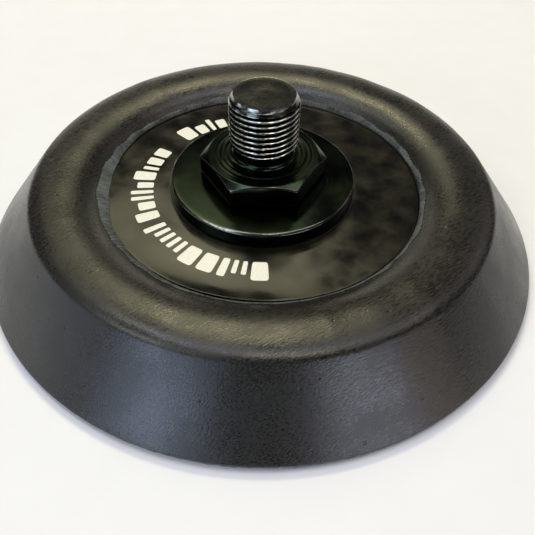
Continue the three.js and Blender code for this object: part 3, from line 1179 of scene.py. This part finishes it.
@dataclass(frozen=True)
class Spindle:
    """The turned steel spindle: rivet head, keyed shank, hexagon, relief neck and thread, in one piece."""

    head_radius: float = 6.2
    shank_radius: float = 4.3
    shank_flat: float = 3.7
    across_flats: float = 14.8
    hex_height: float = 3.3
    washer_face: tuple[float, float] = (6.9, 0.3)  # radius and height of the round seat under the hexagon
    chamfer_radius: float = 7.3
    chamfer_angle: float = 30.0
    corner_power: float = 70.0
    edge: float = 0.09
    neck_radius: float = 3.9
    neck_length: float = 1.6
    fillet: float = 0.7
    thread_diameter: float = 9.0
    pitch: float = 0.75
    depth: float = 0.46
    crest_round: float = 0.955
    crest_flat: float = 0.2
    thread_lift: float = 0.23  # where the thread's turns fall along the spindle
    tip_chamfer: tuple[float, float] = (0.55, 1.0)  # depth and length
    thread_step: float = 0.034
    columns: int = 252
    boss_radius: float = 5.6  # of the raised ring round the neck
    boss_height: float = 0.07
    boss_slope: float = 0.15
    ring_pitch: float = 0.62  # of the tool's rings on the hexagon's top
    ring_depth: float = 0.012
    rings_between: tuple[float, float] = (6.9, 6.2)  # radii where the rings start and are full
    crest_wear: tuple[float, float] = (0.13, 0.02)  # below the thread's rim: where it starts and is full
    lip_wear: tuple[float, float] = (0.1, 0.22)  # its depth below the tip, and its width
    arris_wear: tuple[float, float] = (1.1, 0.6)  # below the hexagon's top: where it starts and is full
    arris_width: float = 0.16
    chamfer_wear: tuple[float, float] = (3.0, 3.9)  # radii where it starts and is full
    worn_crest: float = 0.95
    worn_lip: float = 0.4
    worn_arris: float = 0.12
    worn_chamfer: float = 0.14
    worn_face: float = 0.3

    def shank(self, angle: np.ndarray) -> np.ndarray:
        """Distance to the shank's wall: the lesser of its circle's and its flats'."""
        flats = self.shank_flat / np.maximum(np.abs(np.sin(angle)), 1e-6)
        return np.minimum(self.shank_radius, flats)

    def hexagon(self, angle: np.ndarray) -> np.ndarray:
        """Distance to the hexagon's wall.

        It is one over the power mean of what the six faces ask for, which rounds the corners a little.

        Args:
            angle: where to work it out, in radians.

        Returns:
            The distance at each angle.
        """
        faces = np.radians(np.arange(30, 390, 60)).reshape(6, *[1] * angle.ndim)
        share = np.clip(np.cos(angle[None] - faces), 0, 1) / (self.across_flats / 2)
        return (share**self.corner_power).sum(0) ** (-1 / self.corner_power)

    def thread(self, height: np.ndarray, angle: np.ndarray) -> np.ndarray:
        """Distance to the thread: a helix whose section is a triangle wave with rounded crest and root.

        The wave is the arcsine of a slightly lessened cosine, with its top cut off flat. Where the thread
        starts and ends it is cut by cones, as the tool's run-out and the chamfer cut it.

        Args:
            height: rows of heights.
            angle: columns of angles, in radians.

        Returns:
            The distance at each height and angle.
        """
        neck_top, tip = self.levels()[2:]
        crest = self.thread_diameter / 2
        phase = 2 * np.pi * (height - self.thread_lift) / self.pitch - angle
        wave = np.arcsin(self.crest_round * np.cos(phase)) / math.asin(self.crest_round)
        below = 0.5 - 0.5 * wave
        ridge = crest - self.depth * np.maximum(below - self.crest_flat, 0) / (1 - self.crest_flat)
        run_out = crest - self.depth + np.maximum(height - neck_top, 0) * 0.8
        cut, length = self.tip_chamfer
        chamfer = crest - cut + (tip - height) * cut / length
        return np.minimum(np.minimum(ridge, run_out), chamfer)

    def levels(self) -> tuple[float, float, float, float]:
        """Heights of the hexagon's seat, the hexagon's top, the neck's top and the tip."""
        size = span("spindle")
        seat = span("clamp_washer").high
        return seat, seat + self.hex_height, seat + self.hex_height + self.neck_length, size.high

    def head_rows(self, even: np.ndarray) -> list[np.ndarray]:
        """Rows from the rivet head's middle, round it and up the shank to the hexagon's seat.

        Args:
            even: equally spaced angles.

        Returns:
            The rows.
        """
        seat, foot, base = self.levels()[0], span("lower_washer").low, span("spindle").low
        head = outline(
            [
                (0, base, 0),
                (self.head_radius * 0.6, base, 1.0),
                (self.head_radius * 0.92, base + 0.57, 0.5),
                (self.head_radius, foot - 0.45, 0.2),
                (self.head_radius, foot, 0.1),
                (self.shank_radius + 0.1, foot, 0),
            ],
            spacing=0.6,
        )
        return [
            spun(head[:, :1], head[:, 1:], even),
            spun(self.shank(even), np.linspace(foot, seat, 8)[:, None], even),
        ]

    def hexagon_rows(self, even: np.ndarray, gathered: np.ndarray) -> list[np.ndarray]:
        """Rows out over the round seat and the hexagon's underside, up its walls and in over its chamfer.

        Args:
            even: equally spaced angles, for the round seat.
            gathered: angles gathered at the corners; the rows turn to them as they go out.

        Returns:
            The rows.
        """
        seat, top = self.levels()[:2]
        edge, (face_radius, face_height) = self.edge, self.washer_face
        outwards = np.array([0.1, 0.5, 1.0])[:, None]
        under = seat + face_height
        face_wall = np.array([seat + 0.06, under - 0.05])[:, None]
        turning = even + (gathered - even) * outwards
        reach = self.hexagon(turning) - 1.2 * edge
        wall = self.hexagon(gathered)
        slope = math.tan(math.radians(self.chamfer_angle))
        brim = top - (wall - self.chamfer_radius) * slope
        foot_line, brim_line = under + edge, brim - edge
        inward = np.linspace(0, 1, 9)[:, None]
        cone = (wall - edge) * (1 - inward) + self.chamfer_radius * inward
        return [
            spun(np.maximum(outwards * face_radius, self.shank(even)), np.full((3, 1), seat), even),
            spun(np.full((2, 1), face_radius), face_wall, even),
            spun(face_radius + (reach - face_radius) * outwards, np.full((3, 1), under), turning),
            spun(wall - 0.4 * edge, np.full((1, 1), under + 0.2 * edge), gathered),
            spun(wall, foot_line + (brim_line - foot_line) * np.linspace(0, 1, 6)[:, None], gathered),
            spun(wall - 0.12 * edge, brim - 0.45 * edge, gathered),
            spun(wall - 0.45 * edge, brim - 0.05 * edge, gathered),
            spun(cone, top - (cone - self.chamfer_radius) * slope, gathered),
        ]

    def neck_rows(self, even: np.ndarray, gathered: np.ndarray) -> list[np.ndarray]:
        """Rows in over the hexagon's top, with its tool rings and boss, and up the fillet and the neck.

        Args:
            even: equally spaced angles, for the neck; the rows turn to them as they go in.
            gathered: the hexagon's angles.

        Returns:
            The rows.
        """
        top, neck_top = self.levels()[1:3]
        neck, fillet, boss = self.neck_radius, self.fillet, self.boss_radius
        across = np.linspace(self.chamfer_radius - self.edge, neck + fillet, 26)[:, None]
        angle = gathered + (even - gathered) * smooth(-across, -self.chamfer_radius, -boss)
        start, full = self.rings_between
        rings = np.cos(2 * np.pi * across / self.ring_pitch) * smooth(-across, -start, -full) - 1
        step_up = self.boss_height * smooth(-across, -boss - self.boss_slope, -boss)
        bend = bezier((neck + fillet, top + 0.05), (neck, top + 0.05), (neck, top + fillet), steps=8)[1:]
        return [
            spun(across, top + self.ring_depth * rings + step_up, angle),
            spun(bend[:, :1], bend[:, 1:], even),
            spun(np.full((3, 1), neck), np.linspace(top + 1.0, neck_top - 0.1, 3)[:, None], even),
        ]

    def thread_rows(self, even: np.ndarray) -> list[np.ndarray]:
        """Rows up the thread, and in over the tip's slightly dished face.

        Args:
            even: equally spaced angles.

        Returns:
            The rows.
        """
        neck_top, tip = self.levels()[2:]
        height = np.arange(neck_top, tip, self.thread_step)[:, None]
        face = self.thread_diameter / 2 - self.tip_chamfer[0]
        inwards = np.array([1.0, 0.985, 0.94, 0.8, 0.6, 0.4, 0.3, 0.2, 0.1, 0.0])[:, None]
        dish = 0.04 * smooth(-inwards, -0.5, -0.15) + 0.02 * smooth(-inwards, -1.0, -0.94)
        return [spun(self.thread(height, even), height, even), spun(face * inwards, tip - dish, even)]

    def wear(self, grid: np.ndarray) -> np.ndarray:
        """How far handling has rubbed the black off, as a sum of worn places.

        They are the thread's crests, the lip round the tip, the arris where the hexagon's faces meet its
        top, the tip's chamfer and the tip's face. Each is a smooth step or a bell in radius and height.

        Args:
            grid: the spindle's points.

        Returns:
            The wear at each point, from 0 to 1.
        """
        top, neck_top, tip = self.levels()[1:]
        reach, up = np.hypot(grid[..., 0], grid[..., 1]), grid[..., 2]
        rim = self.thread_diameter / 2
        cut, length = self.tip_chamfer
        start, full = self.crest_wear
        crest = smooth(reach, rim - start, rim - full) * (up > neck_top)
        depth, width = self.lip_wear
        lip = np.exp(-(((up - tip + depth) / width) ** 2)) * smooth(reach, rim - cut - 0.25, rim - cut)
        start, full = self.arris_wear
        corner = reach - self.hexagon(np.arctan2(grid[..., 1], grid[..., 0]))
        near = np.exp(-((corner / self.arris_width) ** 2))
        arris = near * smooth(up, top - start, top - full) * (up < top + 0.01)
        chamfer = smooth(up, tip - length, tip - 0.8 * length) * smooth(reach, *self.chamfer_wear)
        places = self.worn_crest * crest + self.worn_lip * lip + self.worn_arris * arris
        return np.clip(places + self.worn_chamfer * chamfer + self.worn_face * (up > tip - 0.1), 0, 1)

    def build(self) -> None:
        """Make the spindle from rows of points that go up from the rivet head to the tip.

        Columns are equally spaced, except on the hexagon, where a cosine gathers them at its corners.
        """
        even = turn_angles(self.columns)
        sixth = np.pi / 3
        sector = np.floor(even / sixth)
        gathered = (sector + 0.5 - 0.5 * np.cos(np.pi * (even / sixth - sector))) * sixth
        lower = [*self.head_rows(even), *self.hexagon_rows(even, gathered)]
        upper = [*self.neck_rows(even, gathered), *self.thread_rows(even)]
        grid = np.vstack([*lower, *upper])
        grid[..., 2] = np.minimum(grid[..., 2], span("spindle").high)
        worn = self.wear(grid)
        wear = np.concatenate([worn[1:-1].reshape(-1), worn[0, :1], worn[-1, :1]])
        shell = closed_shell(grid)
        piece("spindle_turned", shell, BLACK_STEEL, "spindle", wear=wear, crease=50)


# ---- Studio ----


@dataclass(frozen=True)
class Softbox:
    """A rectangular studio light that faces the pad.

    Azimuth is counter-clockwise from +X and elevation is up from the floor, both in degrees; the sizes
    are in metres, and radiance is what a mirror would show of it.
    """

    name: str
    azimuth: float
    elevation: float
    width: float
    height: float
    radiance: float
    tint: str
    distance: float = 0.6

    def build(self) -> None:
        """Make the light: its power is radiance times pi times area."""
        lamp = bpy.data.lights.new(self.name, "AREA")
        lamp.shape = "RECTANGLE"
        lamp.size = self.width
        lamp.size_y = self.height
        lamp.color = linear(self.tint)[:3]
        lamp.energy = self.radiance * math.pi * self.width * self.height
        turn, rise = math.radians(self.azimuth), math.radians(self.elevation)
        way = Vector((math.cos(rise) * math.cos(turn), math.cos(rise) * math.sin(turn), math.sin(rise)))
        facing = way.to_track_quat("Z", "Y").to_matrix().to_4x4()
        made = placed(self.name, lamp)
        made.matrix_world = Matrix.Translation(way * self.distance) @ facing
        made.visible_camera = False


@dataclass(frozen=True)
class Camera:
    """Where the pad is seen from: close above its front, with a slight roll."""

    lens: float = 40.72
    sensor: float = 36.0
    nearest: float = 0.004  # in metres
    distance: float = 90.43
    elevation: float = 42.84
    roll: float = 1.757
    aim: tuple[float, float] = (0.880, -8.030)
    turn: float = -1.06

    def build(self) -> None:
        """Make the camera: it looks at the aim from its distance away, then rolls, and turns about Z."""
        rise = math.radians(self.elevation)
        stand = Vector((0, -self.distance * math.cos(rise), self.distance * math.sin(rise)))
        aim = Vector((*self.aim, 0))
        back = (stand - aim).normalized()
        right = Vector((0, 0, 1)).cross(back).normalized()
        up = back.cross(right)
        lean = math.radians(self.roll)
        rolled_right = math.cos(lean) * right + math.sin(lean) * up
        rolled_up = math.cos(lean) * up - math.sin(lean) * right
        axes = Matrix((rolled_right, rolled_up, back)).transposed().to_4x4()
        lens = bpy.data.cameras.new("camera")
        lens.lens = self.lens
        lens.sensor_width = self.sensor
        lens.clip_start = self.nearest
        made = placed("camera", lens)
        about_z = Matrix.Rotation(math.radians(self.turn), 4, "Z")
        made.matrix_world = about_z @ Matrix.Translation(stand * MM) @ axes
        bpy.context.scene.camera = made


@dataclass(frozen=True)
class Studio:
    """The pale floor, the softboxes, the grey surround and the camera."""

    floor_radius: float = 600.0
    floor_thickness: float = 20.0
    floor_rounding: float = 5.0
    surround: str = "#34343a"  # what lights the pad from all round
    backdrop: str = "#eceded"  # what shows behind the floor's edge
    lights: tuple[Softbox, ...] = (
        Softbox("wall_behind", 90.0, 8.0, 0.85, 0.12, 1.4, "#fffde4"),
        Softbox("window_left_low", 187.0, 8.0, 0.31, 0.12, 1.7, "#e8eeff"),
        Softbox("window_front_left", 232.0, 14.0, 0.31, 0.24, 5.2, "#ccdeff"),
        Softbox("window_front_right", 306.0, 10.0, 0.31, 0.15, 6.0, "#e8ebff"),
        Softbox("window_right_low", 330.0, 8.0, 0.155, 0.12, 2.1, "#ffe7d3"),
        Softbox("ceiling_behind", 107.0, 47.0, 0.38, 0.13, 2.2, "#fff7ce"),
        Softbox("panel_left", 210.0, 48.0, 0.28, 0.22, 3.4, "#fbfffe"),
        Softbox("lamp_behind_left", 104.0, 60.0, 0.10, 0.11, 18.0, "#fff8c8"),
        Softbox("lamp_behind_right", 77.0, 60.0, 0.10, 0.11, 11.0, "#fff3cc"),
        Softbox("panel_behind_left", 150.0, 60.0, 0.08, 0.11, 7.6, "#fffee5"),
        Softbox("panel_right", 0.0, 60.0, 0.20, 0.16, 3.5, "#fff6ee"),
        Softbox("panel_right_behind", 30.0, 34.0, 0.25, 0.16, 0.9, "#fff0e7"),
        Softbox("ceiling_right", 0.0, 76.0, 0.14, 0.17, 2.5, "#e6f6ff"),
        Softbox("ceiling_left", 180.0, 76.0, 0.14, 0.17, 7.9, "#e4e7ff"),
        Softbox("ceiling_front", 300.0, 76.0, 0.14, 0.17, 7.6, "#fff4e1"),
    )

    def floor(self) -> None:
        """A round board whose top is at z = 0, with its colour from the finish."""
        rim, under, cut = self.floor_radius, -self.floor_thickness, self.floor_rounding
        path = outline([(0, under, 0), (rim, under, cut), (rim, 0, cut), (0, 0, 0)], spacing=400)
        shell = closed_shell(spun(path[:, :1], path[:, 1:], turn_angles(96)))
        made = placed("floor", meshed("floor", shell, PALE_BOARD))

    def build(self) -> None:
        """Make the floor, the surround, the lights and the camera."""
        self.floor()
        world = bpy.data.worlds.new("surround")
        world.use_nodes = True
        tree = world.node_tree
        dim = tree.nodes["Background"]
        dim.inputs["Color"].default_value = linear(self.surround)
        pale = node(tree, "Background", {"Color": linear(self.backdrop)})
        seen = node(tree, "LightPath").outputs["Is Camera Ray"]
        both = node(tree, "MixShader", {0: seen, 1: dim.outputs[0], 2: pale.outputs[0]})
        tree.links.new(both.outputs[0], tree.nodes["World Output"].inputs["Surface"])
        bpy.context.scene.world = world
        bpy.context.scene.view_settings.view_transform = "Standard"
        for light in self.lights:
            light.build()
        Camera().build()


def main() -> None:
    """Build the studio and then the pad, from the working face up."""
    logging.basicConfig(level=logging.INFO, format="%(name)s: %(message)s")
    Studio().build()
    for part in (HookFace(), FoamBody(), PlateStack(), Label(), Spindle()):
        log.info("building %s", type(part).__name__)
        part.build()


if __name__ == "__main__":
    main()
